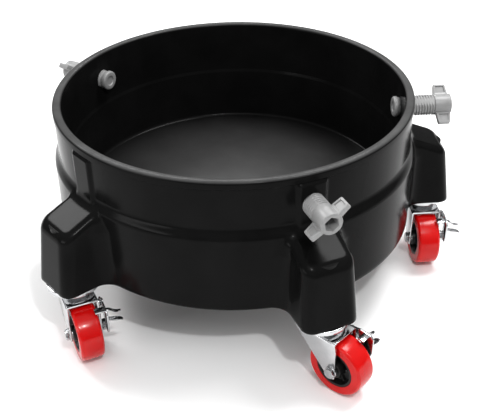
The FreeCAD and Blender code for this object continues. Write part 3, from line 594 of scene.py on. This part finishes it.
def tray_ribs():
    """Ribs under the floor, the skirt's wall behind each leg, and the stem bosses with their webs."""
    shells = []
    for index in range(10):
        turn = Matrix.Rotation(2 * math.pi * index / 10, 4, "Z")
        floor_rib = slab([(33.0, -FLOOR_THICKNESS + 0.5), (33.0, RIB_BOTTOM), (157.0, RIB_BOTTOM),
                          (157.9, RIB_BOTTOM + 1.5), (157.9, CAVITY_TOP), (150.6, CAVITY_TOP),
                          (149.5, -FLOOR_THICKNESS + 0.5)], -RIB_HALF, RIB_HALF)
        shells.append(turned(bevelled(floor_rib, 0.4), turn))
    for radius in RIB_RINGS:
        ring_rib = rounded([(radius - RIB_HALF, RIB_BOTTOM, 0.4), (radius + RIB_HALF, RIB_BOTTOM, 0.4),
                            (radius + RIB_HALF, -3.5, 0), (radius - RIB_HALF, -3.5, 0)], steps=2, closed=True)
        shells.append(lathe(ring_rib, 120, closed=True))
    boss = lathe(rounded([(BOSS_BORE, SKIRT_BOTTOM, 0.3), (BOSS_RADIUS, SKIRT_BOTTOM, 0.5),
                          (BOSS_RADIUS, BOSS_TOP, 0), (BOSS_BORE, BOSS_TOP, 0)], steps=3, closed=True), 48,
                 closed=True)
    along = slab([(161.0, RIB_BOTTOM), (168.5, RIB_BOTTOM), (168.5, WEB_TOP), (161.0, WEB_TOP)],
                 -WEB_HALF, WEB_HALF)
    beyond = slab([(191.0, RIB_BOTTOM), (196.0, RIB_BOTTOM), (191.0, WEB_TOP)], -WEB_HALF, WEB_HALF)
    across = slab([(11.0, RIB_BOTTOM), (20.8, RIB_BOTTOM), (19.4, WEB_TOP), (11.0, WEB_TOP)],
                  -WEB_HALF, WEB_HALF)
    for leg in range(5):
        turn = Matrix.Rotation(leg * LEG_STEP, 4, "Z")
        seat = turn @ Matrix.Translation((CASTER_RADIUS, 0, 0))
        shells += [turned(arc_wall(), turn), turned(boss, seat)]
        for shell in (along, beyond):
            shells.append(turned(bevelled(shell, 0.4), turn))
        for side in (1, -1):
            quarter_turn = Matrix.Rotation(side * math.pi / 2, 4, "Z")
            shells.append(turned(bevelled(across, 0.4), seat @ quarter_turn))
    return joined(*shells)


def turned(shell, matrix):
    """A shell carried to its place."""
    verts, faces = shell
    return [tuple(matrix @ Vector(vert)) for vert in verts], faces


def arc_wall():
    """The stretch of skirt wall that closes one leg's hollow off from the tub."""
    rings = []
    for index in range(13):
        angle = math.radians(-LEG_WALL_HALF_ANGLE + 2 * LEG_WALL_HALF_ANGLE * index / 12)
        loop = []
        for radius, height in ((LEG_WALL_INSIDE, SKIRT_BOTTOM), (LEG_WALL_OUTSIDE, SKIRT_BOTTOM),
                               (LEG_WALL_OUTSIDE, LEG_WALL_TOP), (LEG_WALL_INSIDE, LEG_WALL_TOP)):
            loop.append((radius * math.cos(angle), radius * math.sin(angle), height))
        rings.append(loop)
    verts, faces = polar_grid(rings)
    last = len(verts) - 4
    faces.append((3, 2, 1, 0))
    faces.append((last, last + 1, last + 2, last + 3))
    return verts, faces


def tray_body():
    """The moulded tray, its bores cut through the pads that carry a screw."""
    upright = Matrix.Identity(4)
    piece = make("look_tray", polar_grid(tray_rings()), upright, TRAY_PLASTIC, "tray",
                 ("tray_body",))
    bore_verts, bore_faces = lathe([(0, BORE_START), (BORE_RADIUS, BORE_START), (BORE_RADIUS, BORE_END),
                                    (0, BORE_END)], 64)
    for name in SCREW_NAMES:
        place = screw_place(name)
        mesh = bpy.data.meshes.new("bore")
        mesh.from_pydata([tuple(MM * (place @ Vector(vert))) for vert in bore_verts], [], bore_faces)
        cutter = bpy.data.objects.new("bore", mesh)
        bpy.context.scene.collection.objects.link(cutter)
        cut = piece.modifiers.new("bore", "BOOLEAN")
        cut.operation = "DIFFERENCE"
        cut.solver = "EXACT"
        cut.object = cutter
        bpy.context.view_layer.update()
        done = bpy.data.meshes.new_from_object(piece.evaluated_get(bpy.context.evaluated_depsgraph_get()))
        piece.modifiers.remove(cut)
        piece.data = done
        bpy.data.objects.remove(cutter)
    piece.data.name = "look_tray"
    piece.data.polygons.foreach_set("use_smooth", [True] * len(piece.data.polygons))
    piece.data.set_sharp_from_angle(angle=TRAY_SHARP_ANGLE)
    make("look_tray_ribs", tray_ribs(), upright, TRAY_PLASTIC, "tray")


# ---- clamp screws --------------------------------------------------------
def screw_place(name):
    """Frame of one screw: Z runs outward along it, X towards its upper wing, from the tray's axis."""
    leg = LEG_NAMES.index(name)
    upright = Matrix.Rotation(leg * LEG_STEP, 4, "Z") @ Matrix.Translation((0, 0, SCREW_HEIGHT))
    outward = Matrix.Rotation(math.pi / 2, 4, "Y")
    return upright @ outward @ Matrix.Rotation(math.pi / 2 + WING_ANGLE, 4, "Z")


def screw_end(name):
    """How far out the screw's head reaches from the tray's axis, in millimetres."""
    turn = LEG_NAMES.index(name) * LEG_STEP
    outward = Vector((math.cos(turn), math.sin(turn), 0))
    return max(vert.co.dot(outward) for vert in frame["nodes"]["clamp_screw_" + name].data.vertices) / MM


def hex_reach(angle, corner):
    """Distance from a hexagon's middle to its side at an angle, its corners at 0, 60 and so on."""
    part = (angle + math.pi / 6) % (math.pi / 3) - math.pi / 6
    return corner * math.cos(math.pi / 6) / math.cos(math.pi / 6 - abs(part))


def hex_ring(corner, station, count=96, limit=1e9):
    """A hexagonal ring of points, held within a round limit."""
    points = []
    for index in range(count):
        angle = 2 * math.pi * index / count
        reach = min(hex_reach(angle, corner), limit)
        points.append((reach * math.cos(angle), reach * math.sin(angle), station))
    return points


def round_ring(radius, station, count=96):
    """A round ring of points."""
    points = []
    for index in range(count):
        angle = 2 * math.pi * index / count
        points.append((radius * math.cos(angle), radius * math.sin(angle), station))
    return points


def screw_head(end):
    """Barrel of the head with its hexagonal hollow."""
    back = end - HEAD_LENGTH
    rings = [[(0.0, 0.0, back)], round_ring(6.0, back)]
    rings += [round_ring(radius, station) for radius, station in rounded(
        [(8.0, back, 0), (HEAD_RADIUS, back, 0.7), (HEAD_RADIUS, end, 0.9), (7.2, end, 0)], steps=4)]
    rings += [hex_ring(HEX_CORNER + 0.45, end), hex_ring(HEX_CORNER + 0.1, end - 0.12),
              hex_ring(HEX_CORNER, end - 0.5), hex_ring(HEX_CORNER - 0.15, end - HEX_DEPTH + 0.6),
              hex_ring(HEX_CORNER - 0.6, end - HEX_DEPTH), hex_ring(HEX_CORNER - 3, end - HEX_DEPTH - 0.4),
              [(0.0, 0.0, end - HEX_DEPTH - 0.7)]]
    return polar_grid(rings)


def screw_shank(start, end):
    """Helical thread cut back to two smooth sides, as one closed skin."""
    columns = 96
    stations = np.arange(start, end + 1e-6, THREAD_PITCH / 12)
    rings = [[(0.0, 0.0, start)]]
    for station in stations:
        near_end = min(1.0, max(0.0, (station - start) / 1.6))
        ring = []
        for index in range(columns):
            angle = 2 * math.pi * index / columns
            phase = (station / THREAD_PITCH - angle / (2 * math.pi)) % 1.0
            rise = min(1.0, max(0.0, (0.5 - abs(phase - 0.5)) * 4.2 - 0.55))
            rise = rise * rise * (3 - 2 * rise)
            crest = THREAD_ROOT + (THREAD_RADIUS - THREAD_ROOT) * rise
            crest = min(crest, THREAD_ROOT - 0.9 + near_end * (THREAD_RADIUS - THREAD_ROOT + 0.9))
            flat = THREAD_FLAT / max(1e-6, abs(math.sin(angle)))
            reach = min(crest, flat)
            ring.append((reach * math.cos(angle), reach * math.sin(angle), station))
        rings.append(ring)
    rings.append([(0.0, 0.0, stations[-1])])
    return polar_grid(rings)


def wing_outline(end, inset, root):
    """Outline of one wing, drawn in by an inset, from a root radius to the tip."""
    slope = (HEAD_LENGTH - WING_TIP_LENGTH) / 2 / WING_TIP
    tip = WING_TIP - inset
    low = end - HEAD_LENGTH + inset
    high = end - inset
    corner = max(0.35, 1.3 - 0.6 * inset)
    return rounded([(root, low + slope * root, 0.05), (tip, low + slope * tip, corner),
                    (tip, high - slope * tip, corner), (root, high - slope * root, 0.05)],
                   steps=5, closed=True)


def wing(end):
    """One wing: a tapering plate with rounded edges and a sunk panel on each face.

    Each layer is the outline's inset, its root radius and its height over the wing's middle plane.
    """
    half = WING_THICKNESS / 2
    layers = [(2.15, 10.9, half - 0.95), (1.9, 10.6, half - 0.12), (1.75, 10.4, half), (0.55, 6.0, half),
              (0.16, 6.0, half - 0.16), (0.0, 6.0, half - 0.55)]
    rings = []
    for side, order in ((-1, layers), (1, list(reversed(layers)))):
        for inset, root, level in order:
            rings.append([(x, side * level, z) for x, z in wing_outline(end, inset, root)])
    verts, faces = polar_grid(rings)
    count = len(rings[0])
    faces.append(tuple(range(count)))
    faces.append(tuple(range(len(verts) - count, len(verts))))
    return verts, faces


def clamp_screw(name):
    """Winged clamp screw and its swivel pad."""
    end = screw_end(name)
    pad_back = end - SCREW_LENGTH + PAD_LENGTH
    place = screw_place(name)
    shank = screw_shank(pad_back + PAD_GAP, end - HEAD_LENGTH + 0.4)
    neck = lathe([(0, pad_back - 3.2), (3.0, pad_back - 3.2), (3.0, pad_back + 1.0), (0, pad_back + 1.0)], 40)
    opposite = Matrix.Rotation(math.pi, 4, "Z")
    screw = joined(screw_head(end), shank, neck, wing(end), turned(wing(end), opposite))
    make("look_clamp_screw_" + name, screw, place, SCREW_PLASTIC, "screw_" + name,
         ("clamp_screw_" + name,))
    face = pad_back - PAD_LENGTH
    outline = rounded([(0, face + 0.9, 0), (4.2, face + 0.9, 0.3), (4.8, face, 0.3),
                       (SWIVEL_PAD_RADIUS, face, 1.6), (SWIVEL_PAD_RADIUS, pad_back - 1.9, 0.3),
                       (8.4, pad_back - 1.6, 0.2), (8.4, pad_back, 0.4), (3.06, pad_back, 0.2),
                       (3.06, pad_back - 3.7, 0), (0, pad_back - 3.7, 0)], steps=4)
    make("look_clamp_pad_" + name, lathe(outline, 72), place, SCREW_PLASTIC, "pad_" + name,
         ("clamp_pad_" + name,))


# ---- casters -------------------------------------------------------------
def caster_place(name):
    """Frame of one caster: Z up its swivel axis, X along its trail, Y towards its brake."""
    axle = JOINTS["wheel_spin_" + name]["axis"]
    pivot = JOINTS["swivel_turn_" + name]["pos_m"]
    heading = math.atan2(-axle[0], axle[1])
    return Matrix.Translation((pivot[0] / MM, pivot[1] / MM, 0)) @ Matrix.Rotation(heading, 4, "Z")


def wheel_place(name):
    """Frame of one wheel: Z along its axle towards the brake."""
    return caster_place(name) @ Matrix.Translation((TRAIL, 0, AXLE_Z)) @ Matrix.Rotation(-math.pi / 2, 4, "X")


def tyre_shell():
    """Cast tread, gently crowned, with rounded shoulders and a fine lip against the core."""
    half = WHEEL_HALF
    crown = []
    for step in range(-6, 7):
        part = step / 6
        crown.append((WHEEL_RADIUS - 0.35 * part * part, part * (half - 2.8)))
    low = rounded([(CORE_RADIUS, -half + 0.6, 0), (CORE_RADIUS + 0.3, -half, 0.3), (23.6, -half, 1.8),
                   (WHEEL_RADIUS - 0.35, -half + 1.9, 1.6), crown[0] + (0,)], steps=6)
    high = [(radius, -station) for radius, station in reversed(low)]
    return lathe(low[:-1] + crown + high[1:] + [(CORE_RADIUS, 0.0)], 128, closed=True)


def core_shell():
    """Moulded wheel centre: rim band, thin web with shallow ribs, and hub."""
    columns = 120
    rows = rounded([(4.06, 11.4, 0), (7.2, 11.4, 0.5), (7.6, 3.4, 0.8), (13.9, 3.4, 0.9), (14.7, 9.7, 0.5),
                    (16.8, 9.9, 0.3), (16.8, 9.4, 0)], steps=4)
    rings = []
    for side in (1, -1):
        ordered = rows if side == 1 else list(reversed(rows))
        for radius, station in ordered:
            ring = []
            for index in range(columns):
                angle = 2 * math.pi * index / columns
                lift = 0.0
                on_web = 7.3 < radius < 14.5 and station < 6.0
                if on_web:
                    lean = abs((angle / (math.pi / 3) + 0.5) % 1.0 - 0.5) * math.pi / 3 * radius
                    part = min(1.0, max(0.0, (SPOKE_HALF - lean) / 0.7))
                    lift = SPOKE_HEIGHT * part * part * (3 - 2 * part)
                ring.append((radius * math.cos(angle), radius * math.sin(angle), side * (station + lift)))
            rings.append(ring)
    rings.append(rings[0])
    return polar_grid(rings)


def hex_head(corner, low, high, bore=0.0):
    """Hexagon head or nut with its corners chamfered round."""
    flat = corner * math.cos(math.pi / 6)
    rings = []
    step = 0.75
    for limit, station in ((flat * 0.9, high), (flat * 0.985, high - 0.04), (corner * 1.001, high - step),
                           (corner * 1.001, low + step), (flat * 0.985, low + 0.04), (flat * 0.9, low)):
        rings.append(hex_ring(corner, station, 96, limit))
    if bore > 0:
        rings = [round_ring(bore, low + 0.5), round_ring(bore, high - 0.5),
                 round_ring(bore + 0.4, high)] + rings
        rings += [round_ring(bore + 0.4, low), rings[0]]
    else:
        rings = [[(0.0, 0.0, high)]] + rings + [[(0.0, 0.0, low)]]
    return polar_grid(rings)


def axle_set(name):
    """Axle bolt and nut of one caster."""
    place = wheel_place(name)
    head = hex_head(AXLE_CORNER, -FORK_HALF - BOLT_HEAD_HEIGHT, -FORK_HALF - 0.5)
    flange = lathe(rounded([(0, -FORK_HALF - FLANGE_HEIGHT, 0), (5.0, -FORK_HALF - 0.7, 0.3),
                            (5.3, -FORK_HALF, 0.1), (0, -FORK_HALF, 0)], steps=3), 64)
    thread = threaded_end(AXLE_RADIUS, -FORK_HALF, FORK_HALF + THREAD_BEYOND_FORK)
    make("look_axle_bolt_" + name, joined(head, flange, thread), place, ZINC, "swivel_" + name,
         ("axle_bolt_" + name,))
    nut = hex_head(AXLE_CORNER, FORK_HALF, FORK_HALF + NUT_HEIGHT, AXLE_RADIUS)
    make("look_axle_nut_" + name, nut, place, ZINC, "swivel_" + name, ("axle_nut_" + name,))


def threaded_end(radius, low, high):
    """Bolt shank whose last stretch carries a fine helical thread."""
    columns = 32
    thread_start = high - 7.5
    rings = [[(0.0, 0.0, low)], round_ring(radius, low, columns),
             round_ring(radius, thread_start - 0.1, columns)]
    for station in np.arange(thread_start, high - 0.3, 0.16):
        ring = []
        for index in range(columns):
            angle = 2 * math.pi * index / columns
            phase = (station - angle / (2 * math.pi)) % 1.0
            reach = radius - 0.42 * (1 - abs(2 * phase - 1))
            ring.append((reach * math.cos(angle), reach * math.sin(angle), station))
        rings.append(ring)
    rings += [round_ring(radius - 0.6, high, columns), [(0.0, 0.0, high)]]
    return polar_grid(rings)


def ribbon(stations, gauge):
    """A bent strip from (y, back x, front x, top z) stations, its edges rounded."""
    rings = []
    corner = gauge * 0.3
    for y, back, front, top in stations:
        rings.append([(back + corner, y, top), (front - corner, y, top), (front, y, top - corner),
                      (front, y, top - gauge + corner), (front - corner, y, top - gauge),
                      (back + corner, y, top - gauge), (back, y, top - gauge + corner),
                      (back, y, top - corner)])
    verts, faces = polar_grid(rings)
    faces.append(tuple(range(8)))
    faces.append(tuple(range(len(verts) - 8, len(verts))))
    return verts, faces


def pedal(back, front, top, droop, wave):
    """One pedal prong: it leaves the plate in a bend, droops outwards in a wave and narrows to its tip."""
    stations = []
    for step in range(25):
        part = step / 24
        y = PEDAL_START + (PEDAL_TIP - PEDAL_START) * part
        narrow = 0.75 * max(0.0, part - 0.55) ** 1.5 * (front - back)
        bend = 1.1 * max(0.0, 1 - part * 5) ** 2
        height = top - bend - droop * part + wave * math.sin(2 * math.pi * part)
        end_round = 1.2 * max(0.0, (part - 0.93) / 0.07) ** 2
        stations.append((y, back + narrow * 0.6 + end_round, front - narrow - end_round, height))
    return ribbon(stations, PEDAL_GAUGE)


def brake_lever():
    """Pressed rocking lever: side plate, shoe over the tread and two pedal prongs, about the swivel axis."""
    rim = rounded(LEVER_OUTLINE, steps=5, closed=True)
    hole = [(RIVET[0] + RIVET_HOLE * math.cos(angle), RIVET[1] + RIVET_HOLE * math.sin(angle))
            for angle in np.linspace(0, 2 * math.pi, 32, endpoint=False)]
    plate = bevelled(pierced(rim, hole, LEVER_INSIDE, LEVER_OUTSIDE), 0.25)
    shoe = bevelled(slab(SHOE_OUTLINE, 7.4, 16.4), 0.3)
    upper = pedal(29.6, 33.4, -31.6, 4.6, 0.9)
    lower = pedal(34.4, 39.8, -36.0, 5.4, -0.5)
    return joined(plate, shoe, upper, lower)


def pierced(rim, hole, low, high):
    """A plate with one round hole, between two stations along Y."""
    work = bmesh.new()
    edges = []
    for outline in (rim, hole):
        made = [work.verts.new((x, low, z)) for x, z in outline]
        edges += [work.edges.new((vert, made[(index + 1) % len(made)])) for index, vert in enumerate(made)]
    bmesh.ops.triangle_fill(work, edges=edges, use_beauty=True)
    grown = bmesh.ops.extrude_face_region(work, geom=list(work.faces))
    for item in grown["geom"]:
        if isinstance(item, bmesh.types.BMVert):
            item.co.y = high
    return emptied(work)


def caster(name):
    """Every visible piece of one caster."""
    swivel = "swivel_" + name
    place = caster_place(name)
    wheel = wheel_place(name)
    rolling = "wheel_" + name
    make("look_tyre_" + name, tyre_shell(), wheel, RED_TYRE, rolling, ("tyre_" + name,))
    make("look_wheel_core_" + name, core_shell(), wheel, CORE_PLASTIC, rolling,
         ("wheel_core_" + name,))
    race = rounded([(5.0, -17.6, 0), (5.0, -16.0, 0), (21.0, -16.0, 0), (22.6, -16.0, 1.5),
                    (22.6, -20.1, 0.5), (21.0, -20.1, 0.5), (21.0, -17.6, 0.8)], steps=4, closed=True)
    make("look_upper_race_" + name, lathe(race, 96, closed=True), place, CHROME, "tray",
         ("upper_race_" + name,))
    softened("look_fork_" + name, "fork_" + name, 0.3, CHROME, swivel)
    make("look_brake_lever_" + name, brake_lever(), place, CHROME, "brake_" + name,
         ("brake_lever_" + name,))
    softened("look_brake_rivet_" + name, "brake_rivet_" + name, 0.35, ZINC, swivel)
    axle_set(name)
    for node, material in (("swivel_balls_", BALL_STEEL), ("axle_sleeve_", ZINC)):
        paint(node + name, material)


def paint(node, material):
    """Give a CAD node that stays in view its material."""
    piece = frame["nodes"][node]
    piece.data.materials.clear()
    piece.data.materials.append(material)


# ---- stage, light and camera ---------------------------------------------
def floor():
    """A plain pale floor under the wheels."""
    reach = 6.0
    mesh = bpy.data.meshes.new("floor")
    mesh.from_pydata([(-reach, -reach, GROUND), (reach, -reach, GROUND), (reach, reach, GROUND),
                      (-reach, reach, GROUND)], [], [(0, 1, 2, 3)])
    plane = bpy.data.objects.new("floor", mesh)
    bpy.context.scene.collection.objects.link(plane)
    material = bpy.data.materials.new("pale_floor")
    material.use_nodes = True
    shader = material.node_tree.nodes["Principled BSDF"]
    shader.inputs["Base Color"].default_value = (0.90, 0.90, 0.90, 1.0)
    shader.inputs["Roughness"].default_value = 0.75
    shader.inputs["Specular IOR Level"].default_value = 0.2
    mesh.materials.append(material)


def area_light(name, place, target, size, watts):
    """A soft rectangular light aimed at a point."""
    data = bpy.data.lights.new(name, "AREA")
    data.shape = "RECTANGLE"
    data.size = size[0]
    data.size_y = size[1]
    data.energy = watts
    lamp = bpy.data.objects.new(name, data)
    aim = Vector(target) - Vector(place)
    lamp.matrix_world = Matrix.Translation(place) @ aim.to_track_quat("-Z", "Y").to_matrix().to_4x4()
    bpy.context.scene.collection.objects.link(lamp)


def lights():
    """Softboxes overhead, behind and in front, a small flash above the camera, and an even sky."""
    area_light("softbox_top", (0.57, 0.25, 1.5), (0.05, -0.1, 0), (0.62, 0.56), 23)
    area_light("softbox_back_left", (-1.33, 1.12, 1.55), (-0.1, -0.1, 0), (0.62, 0.52), 20)
    area_light("softbox_back", (0.12, 1.9, 1.55), (0, 0, 0), (1.3, 0.2), 14)
    area_light("softbox_front", (0.1, -1.3, 2.0), (0, 0, 0), (1.5, 1.0), 10)
    area_light("softbox_front_left", (-1.75, -1.1, 0.5), (-0.05, -0.1, 0.03), (1.2, 0.3), 9)
    area_light("flash", (0.17, -0.85, 1.03), (0, 0, 0), (0.05, 0.05), 5)
    world = bpy.data.worlds.new("studio")
    world.use_nodes = True
    tree = world.node_tree
    direction = add_node(tree, "ShaderNodeTexCoord").outputs["Generated"]
    height = add_node(tree, "ShaderNodeSeparateXYZ", links={"Vector": direction}).outputs["Z"]
    sky = ramp(tree, height, [(0.05, grey(0.16)), (0.75, grey(1.0))])
    tree.links.new(sky, tree.nodes["Background"].inputs["Color"])
    tree.nodes["Background"].inputs["Strength"].default_value = 0.80
    bpy.context.scene.world = world


def camera():
    """The camera, above the tray's front and some 0.8 m from its middle."""
    place = Vector((-0.0413, -0.6869, 0.4334))
    heading = 0.07904
    down = 0.586
    roll = -0.013
    level = math.cos(down)
    forward = Vector((math.sin(heading) * level, math.cos(heading) * level, -math.sin(down)))
    right = Vector((math.cos(heading), -math.sin(heading), 0))
    up = right.cross(forward)
    tilted_right = right * math.cos(roll) + up * math.sin(roll)
    tilted_up = up * math.cos(roll) - right * math.sin(roll)
    data = bpy.data.cameras.new("camera")
    data.sensor_width = 36.0
    data.lens = 61.92
    data.clip_start = 0.01
    eye = bpy.data.objects.new("camera", data)
    turn = Matrix((tilted_right, tilted_up, -forward)).transposed().to_4x4()
    eye.matrix_world = Matrix.Translation(place) @ turn
    bpy.context.scene.collection.objects.link(eye)
    bpy.context.scene.camera = eye


camera()
lights()
floor()
tray_body()
for screw in SCREW_NAMES:
    clamp_screw(screw)
for leg_name in LEG_NAMES:
    caster(leg_name)
for metal_group in ("caster_stems", "stem_inserts"):
    paint(metal_group, ZINC)
bpy.context.scene.view_settings.view_transform = "Standard"
